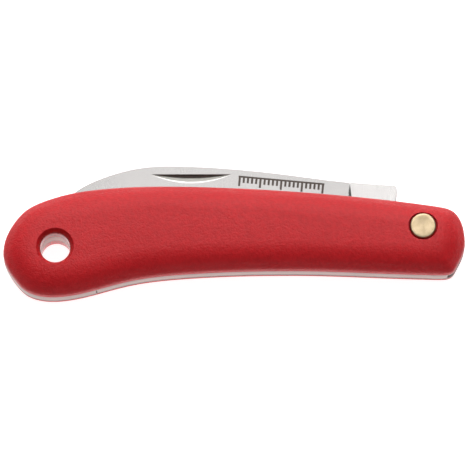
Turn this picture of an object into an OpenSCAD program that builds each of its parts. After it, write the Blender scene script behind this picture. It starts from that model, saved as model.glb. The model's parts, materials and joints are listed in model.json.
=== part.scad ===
// Folding gardener's grafting knife, closed, lying on its rear side.
// X runs along the handle towards the pivot end, Y towards the blade's spine,
// Z out of the front face. Z = 0 is the surface that the knife lies on.
// Units: millimetres.

/* [Handle] */
// Length of the handle
handle_l = 110; // [109:0.5:111]
// Thickness of the handle over both scales
handle_t = 13.2; // [12.8:0.2:14]
// Half-width of each face's flat land at the butt
land_butt = 5.4; // [4:0.2:6]
// Half-width of the land at the pivot end
land_tip = 2.2; // [1.6:0.2:3]
// How far the liners lie inside the scales' edge
liner_inset = 0.02; // [0:0.01:0.2]
// Distance of the pivot from the handle's end
pivot_inset = 10.1; // [9.8:0.1:10.4]

/* [Frame] */
// Gap between the two liners
slot_w = 2.3; // [2.2:0.1:2.6]
// Thickness of each steel liner
liner_t = 0.6; // [0.5:0.1:0.8]
// Play between a fixed and a moving face
play = 0.05; // [0.03:0.01:0.06]

/* [Blade] */
// Thickness of the blade at its spine
blade_t = 2.0; // [1.8:0.1:2.1]
// Thickness left at the cutting edge
edge_t = 0.12; // [0.1:0.02:0.3]
// Height over which each side is ground
grind_h = 16.2; // [16:0.1:18]
// Length of the nail nick
nick_l = 19.4; // [16:0.2:20]
// Height of the nail nick
nick_h = 2; // [1.5:0.05:2.2]
// Depth of the nail nick under its upper edge
nick_depth = 0.8; // [0.4:0.05:0.8]
// Slope of the nick's upper wall in degrees
nick_wall = 49; // [45:1:80]

/* [Pivot] */
// Radius of the pivot rivet's shank
shank_r = 2.0; // [1.8:0.1:2.2]
// Radius of the pivot rivet's head
head_r = 3.1; // [2.9:0.1:3.2]
// Radius of the counterbore around the head
counterbore_r = 3.5; // [3.4:0.1:3.7]
// Depth of the counterbore
counterbore_depth = 1.7; // [1.5:0.1:2]
// How far the head's face lies under the handle's face
head_below = 0.25; // [0.2:0.05:0.4]
// Radius of the tang around the pivot
tang_r = 5.6; // [5.5:0.05:5.7]

/* [Lanyard hole] */
// Radius of the lanyard hole
lanyard_r = 3.55; // [3:0.05:4]
// Radius of its countersink at the face
countersink_r = 4.4; // [4.2:0.1:4.6]
// Depth of the countersink
countersink_depth = 1.8; // [1:0.1:2]

/* [Pins] */
// Radius of the two pins that carry the back spring
spring_pin_r = 1.25; // [1.1:0.05:1.3]
// Radius of the small pins in the scales and the spacer
small_pin_r = 1.0; // [0.8:0.1:1.1]
// How far the pins reach into each scale
pin_reach = 2.0; // [1.5:0.1:2.6]

/* [Hidden] */
$fn = 64;

red_nylon = [0.72, 0.06, 0.08];
steel = [0.78, 0.79, 0.78];
brass = [0.83, 0.68, 0.38];

half_t = handle_t / 2;
half_slot = slot_w / 2;
liner_z = half_slot + liner_t;
crown_h = half_t - liner_z;
// Height that is faced off each scale to make its land
facing = 0.06;
// How far a cutter runs past the face that it cuts
cut = 0.5;
// Radial gap of the blade and the spring around their pins
pin_gap = 0.03;
// Radial gap at the spring's tail, which lets it flex
tail_gap = 0.45;
// Gap between the opened blade's spine and the spring's end
stop_gap = 0.15;
// Gap between the spring's tail and the spacer
spacer_gap = 0.2;
washer_r = head_r + 1.5;
burr_t = 0.9;
head_bevel = 0.3;
// Widest radius of the rivet's peened end
peen_r = head_r - 0.6;

end_x = handle_l / 2;
pivot = [end_x - pivot_inset, 0];
lanyard = [-end_x + 12.47, -5.05];
spring_pivot = [2, -7.5];
tail_point = [-27.5, -10.6];
spacer_points = [[-50.2, 0.6], [-37.6, -11.6]];
scale_points = [[-28, 4], [8, 2.5], [33, 0.5]];

// Handle outline, clockwise from its left end: place and heading of each station
handle_stations = [
    [-end_x, -5.6, 90], [-end_x + 3.8, 3.25, 50], [-end_x + 12.4, 7.95, 18],
    [-31, 10.1, 5.5], [-15, 10.7, -0.5], [15, 9.4, -4.3],
    [end_x - 5.8, 5.6, -9], [end_x - 2, 3.85, -50], [end_x, -3.2, -90],
    [end_x - 2.4, -9.7, -118], [end_x - 4.8, -11, -180], [14, -10.02, -180],
    [-8, -10.6, -176.5], [-26, -12.8, -166.5], [-43.2, -16.45, -180],
    [-end_x + 3.9, -13.5, -230]
];
handle_steps = 7;

// Blade outline from the tip along the spine to the shoulder, seen from the pivot
tip = [-87.9, 2];
spine_end = [-6.05, 10.9];
spine_stations = [
    [tip.x, tip.y, 68], [-81.7, 10.75, 32], [-74.1, 14.15, 19], [-61, 16.28, 0],
    [-36, 14.6, -6.6], [-17, 12.2, -5], [-6.6, 11.4, -4], [spine_end.x, spine_end.y, -92]
];
shoulder = [-6.3, tang_r];
heel = [-17.6, -2.35];
// Underside of the tang, from its flat out to the heel
tang_stations = [[-7.5, -tang_r, 180], [-13.5, -3.4, 155], [heel.x, heel.y, 180]];
edge_angle = atan2(heel.y - tip.y, heel.x - tip.x);
grind = atan2((blade_t - edge_t) / 2, grind_h);
// Upper middle of the nail nick
nick = [-55.2, 14.3];

// Inner side of the back spring, from its free end to its tail
spring_end = pivot.x - spine_end.x - stop_gap;
spring_top = -tang_r - play;
spring_tail = -32.6;
spring_tail_y = -9.4;
spring_stations = [
    [spring_end, spring_top, 180], [37, spring_top, 180], [20, -6.1, 180],
    [2, -4.6, 180], [-14, -6, 192], [spring_tail, spring_tail_y, 190]
];

// Turns an angle difference into the range -180 to 180
function turn(a) = a > 180 ? a - 360 : a < -180 ? a + 360 : a;

// Point at t on the smooth curve between two stations
function bend(p, q, t) =
    let (a = [p.x, p.y], d = [q.x, q.y],
         k = norm(d - a) / (3 * pow(cos(turn(q.z - p.z) / 4), 2)),
         b = a + k * [cos(p.z), sin(p.z)],
         c = d - k * [cos(q.z), sin(q.z)],
         u = 1 - t)
    u * u * u * a + 3 * u * u * t * b + 3 * u * t * t * c + t * t * t * d;

// Open curve through a list of stations, without its last point
function path(stations, steps) =
    [for (i = [0:len(stations) - 2], j = [0:steps - 1])
        bend(stations[i], stations[i + 1], j / steps)];

outline = path(concat(handle_stations, [handle_stations[0]]), handle_steps);

// Both ends, highest place and curvature of the handle's middle line
mid_low = -end_x + 11.7;
mid_high = end_x - 8.6;
mid_top = 2;
mid_curve = 0.0018;

// Nearest point of the middle line
function middle(p) =
    let (x = min(max(p.x, mid_low), mid_high))
    [x, -mid_curve * pow(x - mid_top, 2)];

// Unit vector from the middle line out to a point of the outline
function outward(p) = (p - middle(p)) / norm(p - middle(p));

// Edge of the flat land that belongs to a point of the outline
function land(p) =
    let (m = middle(p), t = (m.x - mid_low) / (mid_high - mid_low))
    m + outward(p) * (land_butt + (land_tip - land_butt) * t);

// Outline of the liners and of what lies between them
inner_outline = [for (p = outline) p - liner_inset * outward(p)];

// Lower edge of that outline as a table of height over length
lower_edge_y = -9.5;
lower_edge = [for (p = inner_outline) if (p.y < lower_edge_y && p.x < spring_end + 2) p];

module at_middle() {
    translate([0, 0, half_t]) children();
}

module pins(points, r, low, high) {
    for (p = points)
        translate([p.x, p.y, low]) cylinder(h = high - low, r = r);
}

// Rounded half of the handle before its land is faced off
module scale_blank() {
    rings = 9;
    n = len(outline);
    points = [for (i = [0:rings], p = outline)
        let (a = 90 * i / rings, q = land(p) + cos(a) * (p - land(p)))
        [q.x, q.y, liner_z + (crown_h + facing) * sin(a)]];
    walls = [for (i = [0:rings - 1], j = [0:n - 1])
        let (k = (j + 1) % n)
        [i * n + j, (i + 1) * n + j, (i + 1) * n + k, i * n + k]];
    floor_face = [[for (j = [0:n - 1]) j]];
    top_face = [[for (j = [n - 1:-1:0]) rings * n + j]];
    polyhedron(points, concat(walls, floor_face, top_face), convexity = 4);
}

// Lanyard hole of one scale with its countersink
module lanyard_cut() {
    mouth_z = half_t - countersink_depth;
    far_r = countersink_r + cut * (countersink_r - lanyard_r) / countersink_depth;
    translate([lanyard.x, lanyard.y, 0]) rotate_extrude()
        polygon([[0, 0], [lanyard_r, 0], [lanyard_r, mouth_z], [far_r, half_t + cut],
                 [0, half_t + cut]]);
}

module scale_half() {
    difference() {
        scale_blank();
        translate([-handle_l, -handle_l, half_t])
            cube([2 * handle_l, 2 * handle_l, cut]);
        pins([pivot], shank_r, liner_z - cut, half_t + cut);
        pins([pivot], counterbore_r, half_t - counterbore_depth, half_t + cut);
        lanyard_cut();
        pins([spring_pivot, tail_point], spring_pin_r, liner_z - cut, liner_z + pin_reach);
        pins(concat(scale_points, spacer_points), small_pin_r,
             liner_z - cut, liner_z + pin_reach);
    }
}

module liner_half() {
    difference() {
        translate([0, 0, half_slot]) linear_extrude(liner_t) polygon(inner_outline);
        pins([pivot], shank_r, 0, liner_z + cut);
        pins([lanyard], lanyard_r, 0, liner_z + cut);
        pins([spring_pivot, tail_point], spring_pin_r, 0, liner_z + cut);
        pins(concat(scale_points, spacer_points), small_pin_r, 0, liner_z + cut);
    }
}

module washer_half() {
    difference() {
        pins([pivot], washer_r, blade_t / 2 + play / 2, half_slot);
        pins([pivot], shank_r, 0, half_slot + cut);
    }
}

module front_scale() {
    color(red_nylon) at_middle() scale_half();
}

module rear_scale() {
    color(red_nylon) at_middle() mirror([0, 0, 1]) scale_half();
}

module front_liner() {
    color(steel) at_middle() liner_half();
}

module rear_liner() {
    color(steel) at_middle() mirror([0, 0, 1]) liner_half();
}

// Filler between the liners at the butt, with the lanyard hole
module tail_spacer() {
    right = spring_tail - spacer_gap;
    slot_side = [[-46.2, 5.6], [-44.9, 1.2], [-43.6, -0.1], [right, -0.6]];
    butt_y = handle_stations[0].y - play;
    upper = [for (p = inner_outline) if (p.x < slot_side[0].x - play && p.y > butt_y) p];
    lower = [for (p = inner_outline) if (p.x < right && p.y <= butt_y) p];
    color(steel) at_middle() difference() {
        translate([0, 0, -half_slot]) linear_extrude(slot_w)
            polygon(concat(upper, slot_side, [[right, lookup(right, lower_edge)]], lower));
        pins([lanyard], lanyard_r, -half_slot - cut, half_slot + cut);
        pins(spacer_points, small_pin_r, -half_slot - cut, half_slot + cut);
    }
}

// Leaf spring along the handle's back
module back_spring() {
    thick = slot_w - 2 * play;
    outer = [for (p = lower_edge) if (p.x > spring_tail + cut && p.x < spring_end - cut) p];
    inner = path(spring_stations, 6);
    color(steel) at_middle() difference() {
        translate([0, 0, -thick / 2]) linear_extrude(thick)
            polygon(concat([[spring_end, lookup(spring_end, lower_edge)]], outer,
                           [[spring_tail, lookup(spring_tail, lower_edge)],
                            [spring_tail, spring_tail_y]],
                           [for (i = [len(inner) - 1:-1:0]) inner[i]]));
        pins([spring_pivot], spring_pin_r + pin_gap, -slot_w, slot_w);
        pins([tail_point], spring_pin_r + tail_gap, -slot_w, slot_w);
    }
}

module spring_pin() {
    color(steel) at_middle()
        pins([spring_pivot], spring_pin_r, -liner_z - pin_reach, liner_z + pin_reach);
}

module tail_pin() {
    color(steel) at_middle()
        pins([tail_point], spring_pin_r, -liner_z - pin_reach, liner_z + pin_reach);
}

module spacer_pins() {
    color(steel) at_middle()
        pins(spacer_points, small_pin_r, -liner_z - pin_reach, liner_z + pin_reach);
}

module front_scale_pins() {
    color(steel) at_middle()
        pins(scale_points, small_pin_r, half_slot, liner_z + pin_reach);
}

module rear_scale_pins() {
    color(steel) at_middle()
        pins(scale_points, small_pin_r, -liner_z - pin_reach, -half_slot);
}

// Removes the metal above one ground side of the blade
module grind_cut() {
    translate([heel.x, heel.y, edge_t / 2]) rotate([0, 0, edge_angle])
        rotate([grind, 0, 0]) translate([-handle_l, -grind_h / 2, 0])
            cube([handle_l, 2 * grind_h, blade_t]);
}

// Crescent cut by a bevelled wheel, with a steep flat wall on its upper side
module nick_cut() {
    wheel_r = (nick_l * nick_l / 4 + nick_depth * nick_depth) / (2 * nick_depth);
    rise = (nick.y - heel.y) * cos(edge_angle) - (nick.x - heel.x) * sin(edge_angle);
    side_z = edge_t / 2 + rise * tan(grind);
    translate([nick.x, nick.y, side_z]) rotate([grind, 0, 0]) intersection() {
        translate([0, 0, wheel_r - nick_depth]) rotate([90, 0, 0])
            cylinder(h = nick_h, r1 = wheel_r, r2 = wheel_r - nick_depth, $fn = 256);
        rotate([nick_wall, 0, 0]) translate([-nick_l, -nick_l, 0]) cube(2 * nick_l);
    }
}

module blade() {
    profile = concat(path(spine_stations, 8), [spine_end, shoulder, [0, tang_r],
                     [0, -tang_r]], path(tang_stations, 6), [heel]);
    color(steel) at_middle() translate([pivot.x, pivot.y, 0]) difference() {
        union() {
            translate([0, 0, -blade_t / 2]) linear_extrude(blade_t) polygon(profile);
            translate([0, 0, -blade_t / 2]) cylinder(h = blade_t, r = tang_r);
        }
        grind_cut();
        mirror([0, 0, 1]) grind_cut();
        translate([0, 0, -blade_t]) cylinder(h = 2 * blade_t, r = shank_r + pin_gap);
        nick_cut();
    }
}

module front_washer() {
    color(brass) at_middle() washer_half();
}

module rear_washer() {
    color(brass) at_middle() mirror([0, 0, 1]) washer_half();
}

// Rivet with a bevelled flat head in front and a peened end behind
module pivot_rivet() {
    seat = half_t - counterbore_depth;
    top = half_t - head_below;
    burr_z = seat + burr_t;
    color(brass) at_middle() translate([pivot.x, pivot.y, 0]) rotate_extrude()
        polygon([[0, top], [head_r - head_bevel, top], [head_r, top - head_bevel],
                 [head_r, seat], [shank_r, seat], [shank_r, -burr_z], [peen_r, -burr_z],
                 [peen_r - head_bevel, -burr_z - head_bevel],
                 [shank_r - 2 * head_bevel, -top], [0, -top]]);
}

// Ring that the rivet's rear end is peened over
module pivot_burr() {
    seat = half_t - counterbore_depth;
    color(brass) at_middle() difference() {
        pins([pivot], head_r, -seat - burr_t, -seat);
        pins([pivot], shank_r, -half_t, 0);
    }
}

front_scale();
rear_scale();
front_liner();
rear_liner();
tail_spacer();
back_spring();
spring_pin();
tail_pin();
spacer_pins();
front_scale_pins();
rear_scale_pins();
blade();
front_washer();
rear_washer();
pivot_rivet();
pivot_burr();
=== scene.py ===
"""The folding grafting knife's looks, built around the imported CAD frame. Lengths are in metres."""
import json
import math

import bmesh
import bpy
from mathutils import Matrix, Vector, geometry


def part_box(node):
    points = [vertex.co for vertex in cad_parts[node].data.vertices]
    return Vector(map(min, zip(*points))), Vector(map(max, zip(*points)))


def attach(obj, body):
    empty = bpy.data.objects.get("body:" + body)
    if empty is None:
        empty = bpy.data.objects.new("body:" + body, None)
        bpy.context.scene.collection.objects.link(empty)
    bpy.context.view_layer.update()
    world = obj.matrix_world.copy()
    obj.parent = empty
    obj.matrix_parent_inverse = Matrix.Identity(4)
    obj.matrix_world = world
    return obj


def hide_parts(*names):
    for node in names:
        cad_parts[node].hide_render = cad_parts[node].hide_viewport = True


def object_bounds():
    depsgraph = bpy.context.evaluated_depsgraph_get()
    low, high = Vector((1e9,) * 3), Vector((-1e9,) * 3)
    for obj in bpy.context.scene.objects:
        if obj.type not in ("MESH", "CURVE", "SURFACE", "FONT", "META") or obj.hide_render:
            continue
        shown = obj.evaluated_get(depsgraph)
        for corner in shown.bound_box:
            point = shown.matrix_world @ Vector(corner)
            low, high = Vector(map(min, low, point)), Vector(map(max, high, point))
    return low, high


MM = 0.001
TINY = 1e-9
SHARP = math.radians(32)    # edges that turn by more than this stay hard

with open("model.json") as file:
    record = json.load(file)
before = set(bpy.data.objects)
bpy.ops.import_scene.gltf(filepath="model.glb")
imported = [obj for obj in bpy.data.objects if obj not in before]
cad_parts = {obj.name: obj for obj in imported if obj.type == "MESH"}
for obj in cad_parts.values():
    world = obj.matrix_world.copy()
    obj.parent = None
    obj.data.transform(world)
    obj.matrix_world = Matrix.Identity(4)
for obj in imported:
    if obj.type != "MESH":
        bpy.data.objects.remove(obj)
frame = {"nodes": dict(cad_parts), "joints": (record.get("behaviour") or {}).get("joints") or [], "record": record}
cad_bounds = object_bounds()
nodes = frame["nodes"]
joints = {joint["name"]: joint for joint in frame["joints"]}
pivot = Vector(joints["blade_pivot"]["pos_m"])
mounts = {mount["name"]: mount for mount in frame["record"]["mounts"]}
lanyard = Vector(mounts["lanyard_hole"]["pos_m"])
lanyard_r = mounts["lanyard_hole"]["dims"]["r_mm"] * MM
middle_z = pivot.z


# ---------------------------------------------------------------- outlines from the frame

FACING_Z = 0.5                      # least upward share of the normal of a face that counts
CORNER_TURN = math.radians(24)
STRAIGHT_LENGTH = 8 * MM
MITRE_LIMIT = 0.4


def projected_loops(node, facing):
    """Outlines, longest first, of the faces of a CAD node that look up (1) or down (-1)."""
    mesh = nodes[node].data
    count = {}
    for face in mesh.polygons:
        if face.normal.z * facing < FACING_Z:
            continue
        corners = [mesh.vertices[i].co for i in face.vertices]
        ring = [(round(c.x / MM, 3), round(c.y / MM, 3)) for c in corners]
        for a, b in zip(ring, ring[1:] + ring[:1]):
            edge = (min(a, b), max(a, b))
            count[edge] = count.get(edge, 0) + 1
    links = {}
    for (a, b), times in count.items():
        if a != b and times % 2:
            links.setdefault(a, []).append(b)
            links.setdefault(b, []).append(a)
    loops = []
    while links:
        first = here = next(iter(links))
        loop = []
        while links.get(here):
            loop.append(Vector(here) * MM)
            there = links[here].pop()
            links[there].remove(here)
            here = there
        links = {point: ends for point, ends in links.items() if ends}
        if len(loop) > 2:
            loops.append(loop)
    return sorted(loops, key=loop_length, reverse=True)


def loop_length(loop):
    return sum((b - a).length for a, b in zip(loop, loop[1:] + loop[:1]))


def signed_area(loop):
    return sum(a.cross(b) for a, b in zip(loop, loop[1:] + loop[:1])) / 2


def turned(loop, counterclockwise=True):
    return loop if (signed_area(loop) > 0) == counterclockwise else loop[::-1]


def smooth_loop(loop, spacing):
    """The loop as a smooth curve at an even spacing. Corners and long straight sides stay."""
    count = len(loop)
    chords = [loop[(i + 1) % count] - loop[i] for i in range(count)]
    result = []
    for i in range(count):
        chord, before, after = chords[i], chords[i - 1], chords[(i + 1) % count]
        length = chord.length
        slopes = []
        for other in (before, after):
            if chord.angle(other) > CORNER_TURN or max(length, other.length) > STRAIGHT_LENGTH:
                slopes.append(chord.normalized())
            else:
                mean = chord.normalized() * other.length + other.normalized() * length
                slopes.append(mean.normalized())
        steps = max(1, round(length / spacing))
        for k in range(steps):
            t = k / steps
            result.append(
                (2 * t**3 - 3 * t**2 + 1) * loop[i] + (t**3 - 2 * t**2 + t) * length * slopes[0]
                + (3 * t**2 - 2 * t**3) * loop[(i + 1) % count]
                + (t**3 - t**2) * length * slopes[1])
    return result


def drawn_in(loop, distance):
    """The loop moved to its left, which is into the material."""
    result = []
    for before, here, after in zip(loop[-1:] + loop[:-1], loop, loop[1:] + loop[:1]):
        first = (here - before).normalized()
        second = (after - here).normalized()
        left_1, left_2 = Vector((-first.y, first.x)), Vector((-second.y, second.x))
        stretch = max(MITRE_LIMIT, 1 + left_1.dot(left_2))
        result.append(here + (left_1 + left_2) * distance / stretch)
    return result


# ---------------------------------------------------------------- mesh building

PLATE_SPACING = 0.5 * MM
PLATE_EDGE_STEPS = 3
LATHE_SEGMENTS = 128


def new_object(name, vertices, faces, sharp=SHARP):
    """A smooth shaded piece with its normals outward, linked to the scene."""
    mesh = bpy.data.meshes.new(name)
    mesh.from_pydata([tuple(v) for v in vertices], [], faces)
    shell = bmesh.new()
    shell.from_mesh(mesh)
    bmesh.ops.recalc_face_normals(shell, faces=shell.faces)
    shell.to_mesh(mesh)
    shell.free()
    mesh.shade_smooth()
    mesh.set_sharp_from_angle(angle=sharp)
    piece = bpy.data.objects.new(name, mesh)
    bpy.context.scene.collection.objects.link(piece)
    return piece


def skin(layers, loop_sizes):
    """Quads between layers of points, where each layer holds the same loops one after another."""
    faces = []
    layer_size = sum(loop_sizes)
    for k in range(len(layers) - 1):
        start = 0
        for size in loop_sizes:
            for i in range(size):
                a, b = start + i, start + (i + 1) % size
                low, high = k * layer_size, (k + 1) * layer_size
                faces.append((low + a, low + b, high + b, high + a))
            start += size
    return faces


def plate(name, loops, low, high, edge):
    """A flat piece with rounded edges. The first loop is its outline, the others are holes."""
    outlines = [smooth_loop(turned(loop, k == 0), PLATE_SPACING) for k, loop in enumerate(loops)]
    sizes = [len(loop) for loop in outlines]
    profile = []
    for k in range(PLATE_EDGE_STEPS + 1):
        a = math.pi / 2 * k / PLATE_EDGE_STEPS
        profile.append((edge * (1 - math.sin(a)), low + edge * (1 - math.cos(a))))
    profile += [(inset, low + high - z) for inset, z in reversed(profile)]
    layers = []
    for inset, z in profile:
        layer = []
        for loop in outlines:
            layer += [Vector((p.x, p.y, z)) for p in drawn_in(loop, inset)]
        layers.append(layer)
    faces = skin(layers, sizes)
    cap = cap_triangles(layers[0], sizes)
    top = (len(layers) - 1) * len(layers[0])
    faces += [(c, b, a) for a, b, c in cap]
    faces += [(top + a, top + b, top + c) for a, b, c in cap]
    return new_object(name, [v for layer in layers for v in layer], faces)


def cap_triangles(points, sizes):
    """Triangles that fill the first loop and leave the others open."""
    loops, start = [], 0
    for size in sizes:
        loops.append([Vector((p.x, p.y, 0)) for p in points[start:start + size]])
        start += size
    return geometry.tessellate_polygon(loops)


def lathe(name, profile, centre):
    """A turned piece from (radius, height) pairs. The axis stands along Z through centre."""
    vertices, rings = [], []
    for radius, height in profile:
        if radius < TINY:
            rings.append([len(vertices)])
            vertices.append((0, 0, height))
            continue
        rings.append(list(range(len(vertices), len(vertices) + LATHE_SEGMENTS)))
        for i in range(LATHE_SEGMENTS):
            a = 2 * math.pi * i / LATHE_SEGMENTS
            vertices.append((radius * math.cos(a), radius * math.sin(a), height))
    faces = []
    pairs = list(zip(rings, rings[1:]))
    if profile[0][0] > 0 and profile[-1][0] > 0:
        pairs.append((rings[-1], rings[0]))
    for low, high in pairs:
        for i in range(LATHE_SEGMENTS):
            j = (i + 1) % LATHE_SEGMENTS
            face = [low[i % len(low)], low[j % len(low)], high[j % len(high)], high[i % len(high)]]
            faces.append(tuple(dict.fromkeys(face)))
    piece = new_object(name, vertices, faces)
    piece.location = centre
    return piece


def cut_with(piece, cutters):
    """Takes the cutters' shapes out of the piece and removes the cutters."""
    for cutter in cutters:
        modifier = piece.modifiers.new(cutter.name, "BOOLEAN")
        modifier.object = cutter
        modifier.solver = "EXACT"
    bpy.context.view_layer.update()
    evaluated = piece.evaluated_get(bpy.context.evaluated_depsgraph_get())
    mesh = bpy.data.meshes.new_from_object(evaluated)
    piece.modifiers.clear()
    piece.data = mesh
    mesh.shade_smooth()
    mesh.set_sharp_from_angle(angle=SHARP)
    for cutter in cutters:
        bpy.data.objects.remove(cutter)


# ---------------------------------------------------------------- scales

SCALE_SPACING = 0.45 * MM
COLUMN_STEP = 0.5 * MM

# The crown: half widths of its nearly flat land at both ends, its rings, and its slight dome
LAND_BUTT = 5.4 * MM
LAND_TIP = 2.2 * MM
LAND_SHARES = (0.8, 0.6, 0.4, 0.2, 0.06)
DOME = 0.6 * MM

# The side: a wall that leans in to WALL_SHARE, a rounded corner, and an arc up to the land
WALL_SHARE = 0.98
CORNER_START = 0.7
CORNER_END = 0.5
CORNER_STEPS = 8
SHOULDER_RINGS = 22
SHOULDER_END = math.radians(38)

# The two holes. The lip's points are outward and upward of the countersink's rim, in millimetres
BORE_RING = 0.3 * MM
COUNTERSINK = 0.85 * MM
COUNTERSINK_DEPTH = 1.8 * MM
COUNTERSINK_LIP = ((-0.088, -0.22), (0.11, 0.02), (0.44, 1.0))
COUNTERBORE_GAP = 0.4 * MM
COUNTERBORE_DEPTH = 1.7 * MM
COUNTERBORE_PILOT = 0.6
PAST_FACE = 1 * MM


def middle_line(outline):
    """Both ends of the outline's middle line, and a function of x for its y and half height."""

    def middle(x):
        heights = []
        for a, b in zip(outline, outline[1:] + outline[:1]):
            if (a.x - x) * (b.x - x) <= 0 and a.x != b.x:
                heights.append(a.y + (b.y - a.y) * (x - a.x) / (b.x - a.x))
        return (min(heights) + max(heights)) / 2, (max(heights) - min(heights)) / 2

    low = first = min(p.x for p in outline)
    high = last = max(p.x for p in outline)
    while low - first < middle(low + COLUMN_STEP)[1]:
        low += COLUMN_STEP
    while last - high < middle(high - COLUMN_STEP)[1]:
        high -= COLUMN_STEP
    return low, high, middle


def shoulder_section():
    """Outward and upward shares of a scale's section: a near upright wall, a corner, an arc."""
    foot, arc = Vector((1, 0)), Vector((math.cos(SHOULDER_END), math.sin(SHOULDER_END)))
    corner = Vector((WALL_SHARE, arc.y - (WALL_SHARE - arc.x) * arc.x / arc.y))
    start, end = foot.lerp(corner, CORNER_START), arc.lerp(corner, CORNER_END)
    points = [foot, foot.lerp(corner, CORNER_START / 2)]
    for k in range(CORNER_STEPS + 1):
        t = k / CORNER_STEPS
        points.append(start.lerp(corner, t).lerp(corner.lerp(end, t), t))
    for k in range(SHOULDER_RINGS + 1):
        a = SHOULDER_END + (math.pi / 2 - SHOULDER_END) * k / SHOULDER_RINGS
        points.append(Vector((math.cos(a), math.sin(a))))
    return points


def rounded_scale(name, node, side):
    """The crowned moulding of one side. side is 1 for the front and -1 for the rear."""
    low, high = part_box(node)
    inner_z, outer_z = (low.z, high.z) if side > 0 else (high.z, low.z)
    outline = smooth_loop(turned(projected_loops(node, -side)[0]), SCALE_SPACING)
    first, last, middle = middle_line(outline)
    middles = []
    for p in outline:
        x = min(max(p.x, first), last)
        middles.append(Vector((x, middle(x)[0])))
    section = shoulder_section()
    crown = outer_z - inner_z
    dome = math.copysign(DOME, crown)
    layers = [[] for _ in range(len(section) + len(LAND_SHARES))]
    for p, m in zip(outline, middles):
        reach = (p - m).length
        land = LAND_BUTT + (LAND_TIP - LAND_BUTT) * (m.x - first) / (last - first)
        spots = [(land + (reach - land) * out, rise) for out, rise in section]
        spots += [(land * share, 1) for share in LAND_SHARES]
        for layer, (radius, rise) in zip(layers, spots):
            z = inner_z + (crown - dome) * rise + dome * (1 - (radius / reach) ** 2)
            layer.append(Vector((*(m + (p - m) * radius / reach), z)))
    size = len(outline)
    faces = skin(layers, [size])
    top = (len(layers) - 1) * size
    faces += [(c, b, a) for a, b, c in cap_triangles(layers[0], [size])]
    faces += [(top + a, top + b, top + c) for a, b, c in cap_triangles(layers[-1], [size])]
    scale = new_object(name, [v for layer in layers for v in layer], faces)
    cut_with(scale, [lanyard_cutter(side, outer_z), counterbore_cutter(side, outer_z)])
    return scale


def mirrored(profile, side):
    return [(radius, height * side) for radius, height in profile]


def lanyard_cutter(side, outer_z):
    """The lanyard hole, its countersink and the soft lip where that meets the face.

    A ring just inside the bore keeps the countersink's shading out of it.
    """
    face = abs(outer_z - middle_z)
    bore_end = face - COUNTERSINK_DEPTH
    profile = [(0, 0), (lanyard_r, 0), (lanyard_r, bore_end - BORE_RING), (lanyard_r, bore_end)]
    profile += [(lanyard_r + COUNTERSINK + out * MM, face + up * MM) for out, up in COUNTERSINK_LIP]
    profile.append((0, face + PAST_FACE))
    return lathe("lanyard_cutter", mirrored(profile, side), (lanyard.x, lanyard.y, middle_z))


def counterbore_cutter(side, outer_z):
    """The hole for the rivet's shank and the wider recess for its head."""
    head_low, head_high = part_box("pivot_rivet")
    head_r = (head_high.x - head_low.x) / 2
    face = abs(outer_z - middle_z)
    pilot_r, radius = head_r * COUNTERBORE_PILOT, head_r + COUNTERBORE_GAP
    profile = [(0, 0), (pilot_r, 0), (pilot_r, face - COUNTERBORE_DEPTH),
               (radius, face - COUNTERBORE_DEPTH), (radius, face + PAST_FACE),
               (0, face + PAST_FACE)]
    return lathe("counterbore_cutter", mirrored(profile, side), (pivot.x, pivot.y, middle_z))


front_scale = rounded_scale("front_scale_moulding", "front_scale", 1)
rear_scale = rounded_scale("rear_scale_moulding", "rear_scale", -1)


# ---------------------------------------------------------------- liners, spring, spacer

LINER_EDGE = 0.04 * MM
SPRING_EDGE = 0.06 * MM


def plate_of(name, node, edge):
    """A plate with the outline and the heights of a CAD node."""
    low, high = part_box(node)
    return plate(name, projected_loops(node, 1), low.z, high.z, edge)


front_liner = plate_of("front_liner_plate", "front_liner", LINER_EDGE)
rear_liner = plate_of("rear_liner_plate", "rear_liner", LINER_EDGE)
spring = plate_of("back_spring_leaf", "back_spring", SPRING_EDGE)
spacer = plate_of("tail_spacer_block", "tail_spacer", SPRING_EDGE)


# ---------------------------------------------------------------- blade

# The mesh of a side
OUTLINE_SPACING = 0.4 * MM
BORE_SPACING = 0.3 * MM
GRID_STEP = 0.9 * MM
GRID_LIFT = 0.3
GRID_CLEAR = 0.4
WELD = 1e-8
BLADE_SHARP = math.radians(7)

# The grind. Half thicknesses are measured from the blade's middle plane
EDGE_HALF = 0.02 * MM
EDGE_WALL = 0.5
BEVEL_HALF = 0.08 * MM
BEVEL_HEIGHT = 0.8 * MM
BEVEL_STEPS = 80
HOLLOW = 1.6
POINT_LENGTH = 22 * MM
POINT_SHARE = 0.62
POINT_GAIN = 0.31
SPINE_CLEAR = 1 * MM
SPINE_ROUND = 0.14 * MM
SPINE_ROUND_LIMIT = 0.35

# The plunge line, where the grinding wheel ran out into the ricasso
PLUNGE_X = 26.8 * MM
PLUNGE_LEAN = 0.17
PLUNGE_POWER = 1.5
PLUNGE_SHARES = (0, 0.05, 0.12, 0.22, 0.35, 0.5, 0.66, 0.83, 1)
PLUNGE_FOOT = 0.2 * MM
PLUNGE_RISE = 16 * MM
PLUNGE_STEPS = 24
WHEEL_R = 1.5 * MM

# The nail nick, whose upper side is straight
NICK_LENGTH = 19.4 * MM
NICK_HEIGHT = 2.15 * MM
NICK_DEPTH = 1.22 * MM
NICK_WALL = math.tan(math.radians(49))
NICK_FLOOR = math.tan(math.radians(32))
NICK_LIP = math.tan(math.radians(13))
NICK_CENTRE = pivot.xy + Vector((-55.2, 14.3)) * MM
NICK_STEPS = 60


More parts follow.
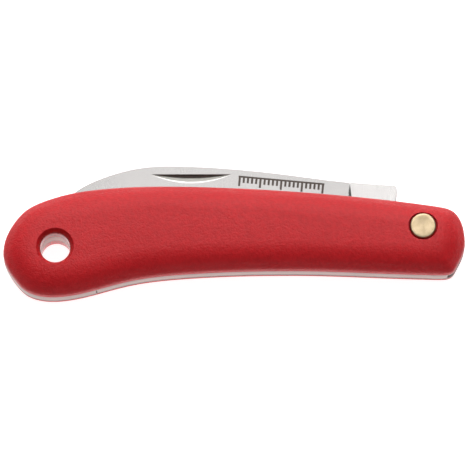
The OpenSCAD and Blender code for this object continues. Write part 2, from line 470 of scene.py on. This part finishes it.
class BladeShape:
    """Height of the blade's side over each point of its outline."""

    def __init__(self):
        low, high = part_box("blade")
        self.half = (high.z - low.z) / 2
        loops = projected_loops("blade", -1)
        loop = turned(loops[0])
        self.outline = smooth_loop(loop, OUTLINE_SPACING)
        self.bore = smooth_loop(turned(loops[1], False), BORE_SPACING)
        sides = list(zip(loop, loop[1:] + loop[:1]))
        a, b = max(sides, key=lambda side: (side[1] - side[0]).length)
        self.tip, self.heel = (a, b) if a.x < b.x else (b, a)
        self.along = (self.heel - self.tip).normalized()
        self.up = Vector((-self.along.y, self.along.x))
        self.spine = sorted(self.place(p) for p in self.outline
                            if self.place(p)[1] > SPINE_CLEAR
                            or p.x < self.tip.x + SPINE_CLEAR)

    def place(self, p):
        """Distance along the cutting edge and height above it."""
        return (p - self.tip).dot(self.along), (p - self.tip).dot(self.up)

    def width(self, s):
        """Height of the spine above the edge at a distance along it."""
        before = [q for q in self.spine if q[0] <= s]
        after = [q for q in self.spine if q[0] > s]
        if not before or not after:
            return (before or after)[-1 if before else 0][1]
        (s0, w0), (s1, w1) = before[-1], after[0]
        return w0 + (w1 - w0) * (s - s0) / max(s1 - s0, TINY)

    def ground(self, s, d):
        """Half thickness of the ground part, with its narrow sharpened bevel."""
        width = max(self.width(s), 2 * BEVEL_HEIGHT)
        taper = math.sin(math.pi / 2 * min(1, s / POINT_LENGTH))
        spine_half = self.half * (POINT_SHARE + POINT_GAIN * taper)
        share = min(1, max(d, BEVEL_HEIGHT) / width) ** HOLLOW
        full = BEVEL_HALF + (spine_half - BEVEL_HALF) * share
        if d < BEVEL_HEIGHT:
            full = EDGE_HALF + (full - EDGE_HALF) * max(0, d) / BEVEL_HEIGHT
        return full

    def plunge(self, d):
        """Where the wheel's round starts and ends at a height above the edge."""
        end = self.place(Vector((PLUNGE_X, self.heel.y)))[0]
        end += PLUNGE_LEAN * (self.width(end) - d)
        step = self.half - self.ground(end, d)
        return end - math.sqrt(2 * WHEEL_R * step), end

    def height(self, p):
        """Half thickness of the blade at a point, without the nick."""
        s, d = self.place(p)
        start, end = self.plunge(d)
        ground = self.ground(min(s, end), d)
        if s >= end:
            return self.half
        if s > start:
            share = (s - start) / (end - start)
            ground += (self.half - ground) * share ** PLUNGE_POWER
        return ground

    def plunge_lines(self):
        """Lines along the grinding wheel's round, from the flat ground side to the ricasso."""
        lines = []
        for share in PLUNGE_SHARES:
            line = []
            for k in range(PLUNGE_STEPS + 1):
                d = PLUNGE_FOOT + PLUNGE_RISE * k / PLUNGE_STEPS
                start, end = self.plunge(d)
                s = start + (end - start) * share
                line.append(self.tip + self.along * s + self.up * d)
            lines.append(line)
        return lines

    def bevel_line(self):
        """Upper side of the sharpened bevel, along the whole edge."""
        side = self.heel - self.tip
        return [self.tip + side * k / BEVEL_STEPS + self.up * BEVEL_HEIGHT
                for k in range(1, BEVEL_STEPS + 1)]


def nick_share(across):
    """Share of the nick's full depth and height that is left at a distance from its middle."""
    return max(0, 1 - (2 * across / NICK_LENGTH) ** 2)


def nick_depths(p):
    """Depths of the nick's steep upper wall, its rising floor and its soft lip under a point."""
    down = NICK_CENTRE.y - p.y
    share = nick_share(p.x - NICK_CENTRE.x)
    wall = down * NICK_WALL
    floor = NICK_DEPTH * share - NICK_FLOOR * down
    lip = NICK_LIP * (NICK_HEIGHT * share - down)
    return wall, floor, lip


def nick_lines():
    """The nick's rim, with its straight upper side, and the two creases inside it."""
    foot_down = NICK_DEPTH / (NICK_WALL + NICK_FLOOR)
    lip_down = (NICK_DEPTH - NICK_LIP * NICK_HEIGHT) / (NICK_FLOOR - NICK_LIP)
    upper, lower, foot, lip = [], [], [], []
    for k in range(NICK_STEPS + 1):
        across = NICK_LENGTH * (k / NICK_STEPS - 0.5)
        share = nick_share(across)
        upper.append(NICK_CENTRE + Vector((across, 0)))
        lower.append(NICK_CENTRE + Vector((across, -NICK_HEIGHT * share)))
        if 1 < k < NICK_STEPS - 1:
            foot.append(NICK_CENTRE + Vector((across, -foot_down * share)))
            lip.append(NICK_CENTRE + Vector((across, -lip_down * share)))
    return upper + lower[-2:0:-1], foot, lip


def inside(loop, p):
    """Whether a point is within a closed loop."""
    hit = False
    for a, b in zip(loop, loop[1:] + loop[:1]):
        if (a.y > p.y) != (b.y > p.y):
            if p.x < a.x + (b.x - a.x) * (p.y - a.y) / (b.y - a.y):
                hit = not hit
    return hit


def blade_side(shape, rim, nick):
    """Side of the blade inside its rim: points, triangles, and where each given point went."""
    points, edges = [], []

    def add_line(line, closed=False):
        start, count = len(points), len(line)
        points.extend(line)
        for i in range(count if closed else count - 1):
            edges.append((start + i, start + (i + 1) % count))

    def on_blade(p):
        return inside(rim, p) and not inside(shape.bore, p)

    add_line(rim, closed=True)
    add_line(shape.bore, closed=True)
    for line in shape.plunge_lines() + [shape.bevel_line()]:
        add_line([p for p in line if on_blade(p)])
    if nick:
        loop, *creases = nick_lines()
        add_line(loop, closed=True)
        for crease in creases:
            add_line(crease)
    low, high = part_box("blade")
    for i in range(int((high.x - low.x) / GRID_STEP)):
        for j in range(int((high.y - low.y) / GRID_STEP)):
            p = low.xy + Vector((i + 0.5 * (j % 2), j + GRID_LIFT)) * GRID_STEP
            near_rim = min((p - q).length for q in rim[::2]) < GRID_CLEAR * GRID_STEP
            if not near_rim and on_blade(p):
                points.append(p)
    flat, _, triangles, origins, _, _ = geometry.delaunay_2d_cdt(points, edges, [], 0, WELD)
    kept = []
    for triangle in triangles:
        if on_blade(sum((flat[i] for i in triangle), Vector((0, 0))) / len(triangle)):
            kept.append(list(triangle))
    back = {source: index for index, sources in enumerate(origins) for source in sources}
    return flat, kept, back


def blade_piece():
    """The blade: its two ground sides, and the rounded walls between them."""
    shape = BladeShape()
    rim = []
    for p, q in zip(shape.outline, drawn_in(shape.outline, SPINE_ROUND)):
        share = min(1, SPINE_ROUND_LIMIT * shape.height(p) / SPINE_ROUND)
        rim.append(p + (q - p) * share)
    vertices, faces = [], []
    rims, bores = [], []
    for side, nick in ((1, True), (-1, False)):
        flat, triangles, back = blade_side(shape, rim, nick)
        base = len(vertices)
        for p in flat:
            height = shape.height(p)
            if nick:
                wall, floor, lip = nick_depths(p)
                height -= max(0, min(wall, max(floor, lip)))
            vertices.append(Vector((p.x, p.y, middle_z + side * height)))
        for triangle in triangles:
            faces.append(tuple(base + i for i in (triangle if side > 0 else triangle[::-1])))
        rims.append([base + back[i] for i in range(len(rim))])
        bores.append([base + back[len(rim) + i] for i in range(len(shape.bore))])
    walls = [rims[0]]
    for side in (1, -1):
        base = len(vertices)
        for p, q in zip(shape.outline, rim):
            height = max(shape.height(p) - (q - p).length, EDGE_HALF * EDGE_WALL)
            vertices.append(Vector((p.x, p.y, middle_z + side * height)))
        walls.append(list(range(base, base + len(rim))))
    walls.append(rims[1])
    for upper, lower in list(zip(walls, walls[1:])) + [tuple(bores)]:
        count = len(upper)
        for i in range(count):
            j = (i + 1) % count
            faces.append((upper[i], lower[i], lower[j], upper[j]))
    return new_object("ground_blade", vertices, faces, BLADE_SHARP)


blade = blade_piece()


# ---------------------------------------------------------------- pivot

# The peened end's rings are inward of the head's radius and below the burr, in millimetres
SHANK_R = 2.0 * MM
HEAD_BEVEL = 0.28 * MM
HEAD_DISH = 0.05 * MM
HEAD_RIM = 0.1 * MM
PEEN_RINGS = ((0.62, 0.02), (0.78, 0.24), (1.2, 0.38))
PEEN_FLAT = 1.7 * MM
BURR_BEVEL = 0.12 * MM


def rivet_piece():
    """The pivot rivet, from its dished head to its peened end, and the burr around that end."""
    low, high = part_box("pivot_rivet")
    burr_low, burr_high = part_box("pivot_burr")
    head_r = (high.x - low.x) / 2
    burr_r = (burr_high.x - burr_low.x) / 2
    top, rear = high.z - middle_z, low.z - middle_z
    seat, burr_face = middle_z - burr_high.z, burr_low.z - middle_z
    profile = [(0, top - HEAD_DISH), (head_r * 0.35, top - HEAD_DISH * 0.8),
               (head_r * 0.7, top - HEAD_DISH * 0.3), (head_r - HEAD_BEVEL - HEAD_RIM, top),
               (head_r - HEAD_BEVEL, top - 0.02 * MM),
               (head_r - HEAD_BEVEL * 0.4, top - HEAD_BEVEL * 0.35),
               (head_r - 0.03 * MM, top - HEAD_BEVEL), (head_r, top - HEAD_BEVEL - HEAD_RIM),
               (head_r, seat), (SHANK_R, seat), (SHANK_R, burr_face)]
    profile += [(head_r - inward * MM, burr_face - out * MM) for inward, out in PEEN_RINGS]
    profile += [(head_r - PEEN_FLAT, rear + 0.01 * MM), (head_r * 0.2, rear), (0, rear)]
    rivet = lathe("pivot_rivet_turned", profile, (pivot.x, pivot.y, middle_z))
    ring = [(SHANK_R, burr_face), (burr_r - BURR_BEVEL, burr_face),
            (burr_r, burr_face + BURR_BEVEL), (burr_r, -seat), (SHANK_R, -seat)]
    collar = lathe("pivot_burr_turned", ring, (pivot.x, pivot.y, middle_z))
    return rivet, collar


rivet, burr = rivet_piece()


# ---------------------------------------------------------------- materials

class Material:
    """A node material with object coordinates, built step by step."""

    def __init__(self, name, **sockets):
        self.data = bpy.data.materials.new(name)
        self.data.use_nodes = True
        self.tree = self.data.node_tree
        self.shader = self.tree.nodes["Principled BSDF"]
        for socket, value in sockets.items():
            self.shader.inputs[socket.replace("_", " ")].default_value = value
        self.coordinates = self.node("ShaderNodeTexCoord").outputs["Object"]

    def node(self, kind, **settings):
        node = self.tree.nodes.new(kind)
        for key, value in settings.items():
            setattr(node, key, value)
        return node

    def feed(self, target, value):
        """Links a socket to the target, or sets the target to a plain value."""
        if hasattr(value, "links"):
            self.tree.links.new(value, target)
        else:
            target.default_value = value

    def math(self, operation, *values):
        node = self.node("ShaderNodeMath", operation=operation)
        for socket, value in zip(node.inputs, values):
            self.feed(socket, value)
        return node.outputs[0]

    def stretched(self, scale, turn=0.0):
        """The object coordinates, turned about Z and scaled."""
        node = self.node("ShaderNodeMapping")
        self.feed(node.inputs["Vector"], self.coordinates)
        node.inputs["Scale"].default_value = scale
        node.inputs["Rotation"].default_value = (0, 0, turn)
        return node.outputs[0]

    def noise(self, scale, detail, vector=None, roughness=0.5):
        node = self.node("ShaderNodeTexNoise")
        self.feed(node.inputs["Vector"], vector or self.coordinates)
        node.inputs["Scale"].default_value = scale
        node.inputs["Detail"].default_value = detail
        node.inputs["Roughness"].default_value = roughness
        return node.outputs["Fac"]

    def axes(self):
        """The x, y and z of the object coordinates."""
        split = self.node("ShaderNodeSeparateXYZ")
        self.feed(split.inputs[0], self.coordinates)
        return split.outputs

    def from_axis(self, centre=(0, 0)):
        """Distance from a line that stands along Z."""
        squares = [self.math("POWER", self.math("SUBTRACT", socket, c), 2.0)
                   for socket, c in zip(self.axes(), centre)]
        return self.math("SQRT", self.math("ADD", *squares))

    def ramp(self, value, low, high, out_low=0.0, out_high=1.0):
        """A soft step from out_low to out_high as the value goes from low to high."""
        node = self.node("ShaderNodeMapRange", interpolation_type="SMOOTHSTEP")
        for socket, v in zip(("Value", "From Min", "From Max", "To Min", "To Max"),
                             (value, low, high, out_low, out_high)):
            self.feed(node.inputs[socket], v)
        return node.outputs[0]

    def mix(self, factor, a, b):
        node = self.node("ShaderNodeMix", data_type="RGBA")
        self.feed(node.inputs[0], factor)
        self.feed(node.inputs[6], a)
        self.feed(node.inputs[7], b)
        return node.outputs[2]

    def bump(self, height, distance):
        """Adds a height, in metres where it is 1, on top of the bumps that are there."""
        node = self.node("ShaderNodeBump")
        node.inputs["Strength"].default_value = 1.0
        node.inputs["Distance"].default_value = distance
        self.feed(node.inputs["Height"], height)
        last = self.shader.inputs["Normal"]
        if last.is_linked:
            self.feed(node.inputs["Normal"], last.links[0].from_socket)
        self.feed(last, node.outputs[0])

    def put_on(self, *pieces):
        for piece in pieces:
            piece.data.materials.clear()
            piece.data.materials.append(self.data)


RED_DEEP, RED_LIGHT = (0.71, 0.008, 0.014, 1), (0.79, 0.011, 0.018, 1)
RED_FLOW = (0.65, 0.006, 0.011, 1)
GRAIN_SCALE, GRAIN_HEIGHT = 2400, 0.19 * MM
MOTTLE_SCALE, MOTTLE_HEIGHT = 1100, 0.05 * MM
FLOW_SCALE, FLOW_SHARE = 90, 0.35
FLOW_STRETCH = (0.35, 1.6, 1.6)
BORE_ROUGHNESS = 0.1


def nylon():
    """Moulded red nylon: a fine eroded grain that stops at the polished core of the lanyard hole."""
    m = Material("moulded_red_nylon", Specular_IOR_Level=0.42, Sheen_Weight=0.04,
                 Sheen_Roughness=0.3)
    grained = m.ramp(m.from_axis(lanyard.xy), lanyard_r + 0.02 * MM, lanyard_r + 0.1 * MM)
    grain = m.noise(GRAIN_SCALE, 3.0, roughness=0.65)
    mottle = m.noise(MOTTLE_SCALE, 2.0)
    flow = m.noise(FLOW_SCALE, 2.0, m.stretched(FLOW_STRETCH))
    base = m.mix(m.ramp(mottle, 0.35, 0.65), RED_DEEP, RED_LIGHT)
    base = m.mix(m.ramp(flow, 0.3, 0.7, 0, FLOW_SHARE), base, RED_FLOW)
    m.feed(m.shader.inputs["Base Color"], base)
    rougher = m.math("SUBTRACT", m.ramp(grain, 0.3, 0.7, 0.34, 0.5), BORE_ROUGHNESS)
    m.feed(m.shader.inputs["Roughness"],
           m.math("MULTIPLY_ADD", rougher, grained, BORE_ROUGHNESS))
    m.bump(m.math("MULTIPLY", grain, grained), GRAIN_HEIGHT)
    m.bump(m.math("MULTIPLY", mottle, grained), MOTTLE_HEIGHT)
    return m


LINES_ACROSS, LINES_ALONG = 0.0, math.radians(90)
LINES_SCALE = 7000
LINES_STRETCH = (1.0, 0.03, 0.3)
LINES_SHADE = 0.93
FINE_GRIT, COARSE_GRIT = 0.0003 * MM, 0.0008 * MM
ETCH_COLOUR = (0.12, 0.10, 0.09, 1)
ETCH_ROUGHNESS = 0.25
ETCH_DEPTH = 0.01 * MM


def steel(name, colour, roughness, turn, grit=COARSE_GRIT, etched=False):
    """Metal with fine parallel grinding lines, turned from the Y axis."""
    m = Material(name, Metallic=1.0)
    lines = m.noise(LINES_SCALE, 2.0, m.stretched(LINES_STRETCH, turn), 0.6)
    cloud = m.noise(160, 2.0)
    darker = tuple(c * LINES_SHADE for c in colour)
    shade = m.mix(m.ramp(lines, 0.25, 0.75), (*darker, 1), (*colour, 1))
    rough = m.ramp(lines, 0.3, 0.7, roughness - 0.04, roughness + 0.05)
    rough = m.math("ADD", rough, m.ramp(cloud, 0.3, 0.7, -0.02, 0.03))
    if etched:
        mask = scale_marks(m)
        shade = m.mix(mask, shade, ETCH_COLOUR)
        rough = m.math("ADD", rough, m.math("MULTIPLY", mask, ETCH_ROUGHNESS))
        m.bump(m.math("MULTIPLY", mask, -1.0), ETCH_DEPTH)
    m.feed(m.shader.inputs["Base Color"], shade)
    m.feed(m.shader.inputs["Roughness"], rough)
    m.bump(lines, grit)
    return m


MARK_START = Vector((1.4, 13.9)) * MM
MARK_TURN = math.radians(-5.4)

# Sizes of the millimetre scale, in millimetres
MARK_LENGTH = 20
MARK_END = 0.28
TICK_LENGTH = 1.7
FIFTH_LENGTH = 0.85
TICK_HALF = 0.22
LINE_HALF = 0.2
SOFT = 0.06


def scale_marks(m):
    """Mask of a plain row of millimetre ticks, each fifth one longer, on the front side."""

    def from_multiple(value, pitch):
        wave = m.math("PINGPONG", m.math("ADD", value, pitch / 2), pitch / 2)
        return m.math("SUBTRACT", pitch / 2, wave)

    x, y, z = m.axes()
    x, y = m.math("SUBTRACT", x, MARK_START.x), m.math("SUBTRACT", y, MARK_START.y)
    cosine, sine = math.cos(MARK_TURN) / MM, math.sin(MARK_TURN) / MM
    along = m.math("ADD", m.math("MULTIPLY", x, cosine), m.math("MULTIPLY", y, sine))
    across = m.math("SUBTRACT", m.math("MULTIPLY", y, cosine), m.math("MULTIPLY", x, sine))
    tick = m.ramp(from_multiple(along, 1), TICK_HALF, TICK_HALF + 0.05, 1, 0)
    fifth = m.ramp(from_multiple(along, 5), 0.5, 0.6, 1, 0)
    length = m.math("ADD", TICK_LENGTH, m.math("MULTIPLY", fifth, FIFTH_LENGTH))
    below = m.ramp(m.math("ADD", across, length), 0.0, SOFT)
    above = m.ramp(across, 0.02 - SOFT, 0.02, 1, 0)
    band = m.math("MULTIPLY", m.ramp(along, -MARK_END - SOFT, -MARK_END),
                  m.ramp(along, MARK_LENGTH + MARK_END, MARK_LENGTH + MARK_END + SOFT, 1, 0))
    line = m.ramp(m.math("ABSOLUTE", m.math("ADD", across, LINE_HALF)),
                  LINE_HALF, LINE_HALF + 0.04, 1, 0)
    marks = m.math("MULTIPLY", m.math("MULTIPLY", tick, below), above)
    marks = m.math("MULTIPLY", m.math("MAXIMUM", marks, line), band)
    return m.math("MULTIPLY", marks, m.math("GREATER_THAN", z, middle_z))


BRASS_DEEP, BRASS_LIGHT = (0.48, 0.37, 0.22, 1), (0.62, 0.49, 0.32, 1)
RING_SCALE = 2600.0
CLOUD_HEIGHT = 0.015 * MM


def brass(name, ring_height, centre=(0, 0)):
    """Brass with turning marks around a centre in its own coordinates."""
    m = Material(name, Metallic=1.0, Anisotropic=0.75)
    rings = m.node("ShaderNodeTexNoise", noise_dimensions="1D")
    m.feed(rings.inputs["W"], m.math("MULTIPLY", m.from_axis(centre), RING_SCALE))
    rings.inputs["Detail"].default_value = 3.0
    ring = rings.outputs["Fac"]
    cloud = m.noise(900, 3.0)
    mixed = m.math("MULTIPLY", m.math("ADD", cloud, ring), 0.5)
    tone = m.mix(m.ramp(mixed, 0.38, 0.62), BRASS_DEEP, BRASS_LIGHT)
    m.feed(m.shader.inputs["Base Color"], tone)
    m.feed(m.shader.inputs["Roughness"], m.ramp(ring, 0.3, 0.7, 0.30, 0.42))
    around = m.node("ShaderNodeTangent", direction_type="RADIAL", axis="Z")
    m.feed(m.shader.inputs["Tangent"], around.outputs[0])
    m.bump(ring, ring_height)
    m.bump(cloud, CLOUD_HEIGHT)
    return m


nylon().put_on(front_scale, rear_scale)
steel("satin_blade_steel", (0.60, 0.58, 0.57), 0.21, LINES_ACROSS, FINE_GRIT, True).put_on(blade)
# The nick's steep upper wall gets a darker copy of the blade steel: painted shade, as the real wall is the same
# steel. Its floor gets a rougher copy whose slightly warmer tone is painted light. The soft lip keeps the blade
# steel.
WALL_SLOT, FLOOR_SLOT = 1, 2
nick_wall_shade_steel = steel("nick_wall_painted_shade", (0.22, 0.21, 0.20), 0.22, LINES_ALONG)
floor_steel = steel("nick_floor_steel", (0.58, 0.57, 0.53), 0.5, LINES_ALONG)
blade.data.materials.append(nick_wall_shade_steel.data)
blade.data.materials.append(floor_steel.data)
for face in blade.data.polygons:
    wall, floor, lip = nick_depths(face.center.xy)
    if face.center.z > middle_z and 0 < min(wall, floor) and lip < floor:
        face.material_index = WALL_SLOT if wall < floor else FLOOR_SLOT
# The pinkish, darkened tone of the liner, spacer and spring steel is painted: a painted reflection of red light
# bounced off the nylon, and painted shade. The steel itself is grey.
liner_steel = steel("liner_steel", (0.42, 0.33, 0.31), 0.34, LINES_ALONG)
liner_steel.put_on(front_liner, rear_liner, spacer)
steel("spring_steel", (0.44, 0.35, 0.33), 0.32, LINES_ALONG).put_on(spring)
brass("turned_brass", 0.006 * MM).put_on(rivet, burr)
brass("washer_brass", 0.002 * MM, pivot.xy).put_on(nodes["front_washer"], nodes["rear_washer"])
pin_steel = steel("drawn_pin_steel", (0.60, 0.60, 0.60), 0.30, LINES_ACROSS)
pin_steel.put_on(*(nodes[name] for name in ("spring_pin", "tail_pin", "spacer_pins",
                                            "front_scale_pins", "rear_scale_pins")))


# ---------------------------------------------------------------- where each piece belongs

for piece, node, body, slot in (
        (front_scale, "front_scale", "handle", "scale_nylon"),
        (rear_scale, "rear_scale", "handle", "scale_nylon"),
        (spacer, "tail_spacer", "handle", "liner_steel"),
        (front_liner, "front_liner", "handle", "liner_steel"),
        (rear_liner, "rear_liner", "handle", "liner_steel"),
        (rivet, "pivot_rivet", "handle", "brass"),
        (burr, "pivot_burr", "handle", "brass"),
        (spring, "back_spring", "spring", "spring_steel"),
        (blade, "blade", "blade", "blade_steel")):
    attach(piece, body)
    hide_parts(node)


# ---------------------------------------------------------------- floor, light and camera

FLOOR_HALF = 4
FLOOR_GAP = 0.05 * MM
GLOW = 0.95
GLOW_FAR = 0.2
GLOW_R = 85 * MM
GLOW_FADE = 110 * MM
BOX_DISTANCE = 1.0
BOX_HEIGHT = 0.353
FILL_HEIGHT = 0.6
WORLD_STRENGTH = 0.01
CAMERA_DISTANCE = 1.1
CAMERA_ELEVATION = math.radians(74.5)
CAMERA_AIM = Vector((0.2, -0.57, 6.6)) * MM
VIEW_WIDTH = 112.25 * MM
SENSOR_WIDTH = 36


def place_aimed(name, data, target, direction, distance):
    """Puts a light or a camera in the scene, looking at the target from a direction."""
    thing = bpy.data.objects.new(name, data)
    thing.location = target + direction * distance
    thing.rotation_euler = (thing.location - target).to_track_quat("Z", "Y").to_euler()
    bpy.context.scene.collection.objects.link(thing)
    return thing


def stage_floor():
    """A pale floor that glows: its emission is painted light that stands in for a lit table. It is strongest
    around the knife, so that no shadow of the knife shows.
    """
    corners = [(x * FLOOR_HALF, y * FLOOR_HALF, 0) for x, y in ((-1, -1), (1, -1), (1, 1), (-1, 1))]
    floor = new_object("floor", corners, [(0, 1, 2, 3)])
    m = Material("pale_floor", Roughness=0.9, Base_Color=(0.6, 0.6, 0.6, 1),
                 Emission_Color=(1, 1, 1, 1))
    glow = m.ramp(m.from_axis(), GLOW_R, GLOW_R + GLOW_FADE, GLOW, GLOW_FAR)
    m.feed(m.shader.inputs["Emission Strength"], glow)
    m.put_on(floor)
    floor.location.z = cad_bounds[0][2] - FLOOR_GAP


def softbox(name, turn, elevation, width, height, radiance):
    """A soft light aimed at the knife. turn is its angle in degrees from straight behind."""
    light = bpy.data.lights.new(name, "AREA")
    light.shape = "RECTANGLE"
    light.size, light.size_y = width, height
    light.energy = radiance * math.pi * width * height
    turn, rise = math.radians(turn), math.radians(elevation)
    direction = Vector((math.sin(turn) * math.cos(rise), math.cos(turn) * math.cos(rise),
                        math.sin(rise)))
    place_aimed(name, light, Vector(), direction, BOX_DISTANCE)


def camera():
    data = bpy.data.cameras.new("camera")
    data.sensor_width = SENSOR_WIDTH
    data.lens = SENSOR_WIDTH * CAMERA_DISTANCE / VIEW_WIDTH
    data.clip_end = 20
    direction = Vector((0, -math.cos(CAMERA_ELEVATION), math.sin(CAMERA_ELEVATION)))
    bpy.context.scene.camera = place_aimed("camera", data, CAMERA_AIM, direction, CAMERA_DISTANCE)


def world_light():
    world = bpy.data.worlds.new("studio")
    world.use_nodes = True
    background = world.node_tree.nodes["Background"]
    background.inputs["Color"].default_value = (1, 1, 1, 1)
    background.inputs["Strength"].default_value = WORLD_STRENGTH
    bpy.context.scene.world = world


stage_floor()
world_light()
softbox("softbox_behind", 0, 40, 0.9, BOX_HEIGHT, 5.2)
softbox("softbox_high", 0, 60, 0.9, BOX_HEIGHT, 2.6)
softbox("softbox_above", 0, 80, 1.15, BOX_HEIGHT, 1.25)
softbox("fill_over", 180, 79, 1.15, BOX_HEIGHT, 0.3)
softbox("fill_front", 180, 36, 1.4, FILL_HEIGHT, 0.12)
softbox("fill_left", -70, 34, 1.1, FILL_HEIGHT, 0.16)
softbox("fill_right", 70, 34, 1.1, FILL_HEIGHT, 0.16)
camera()
bpy.context.scene.view_settings.view_transform = "Standard"
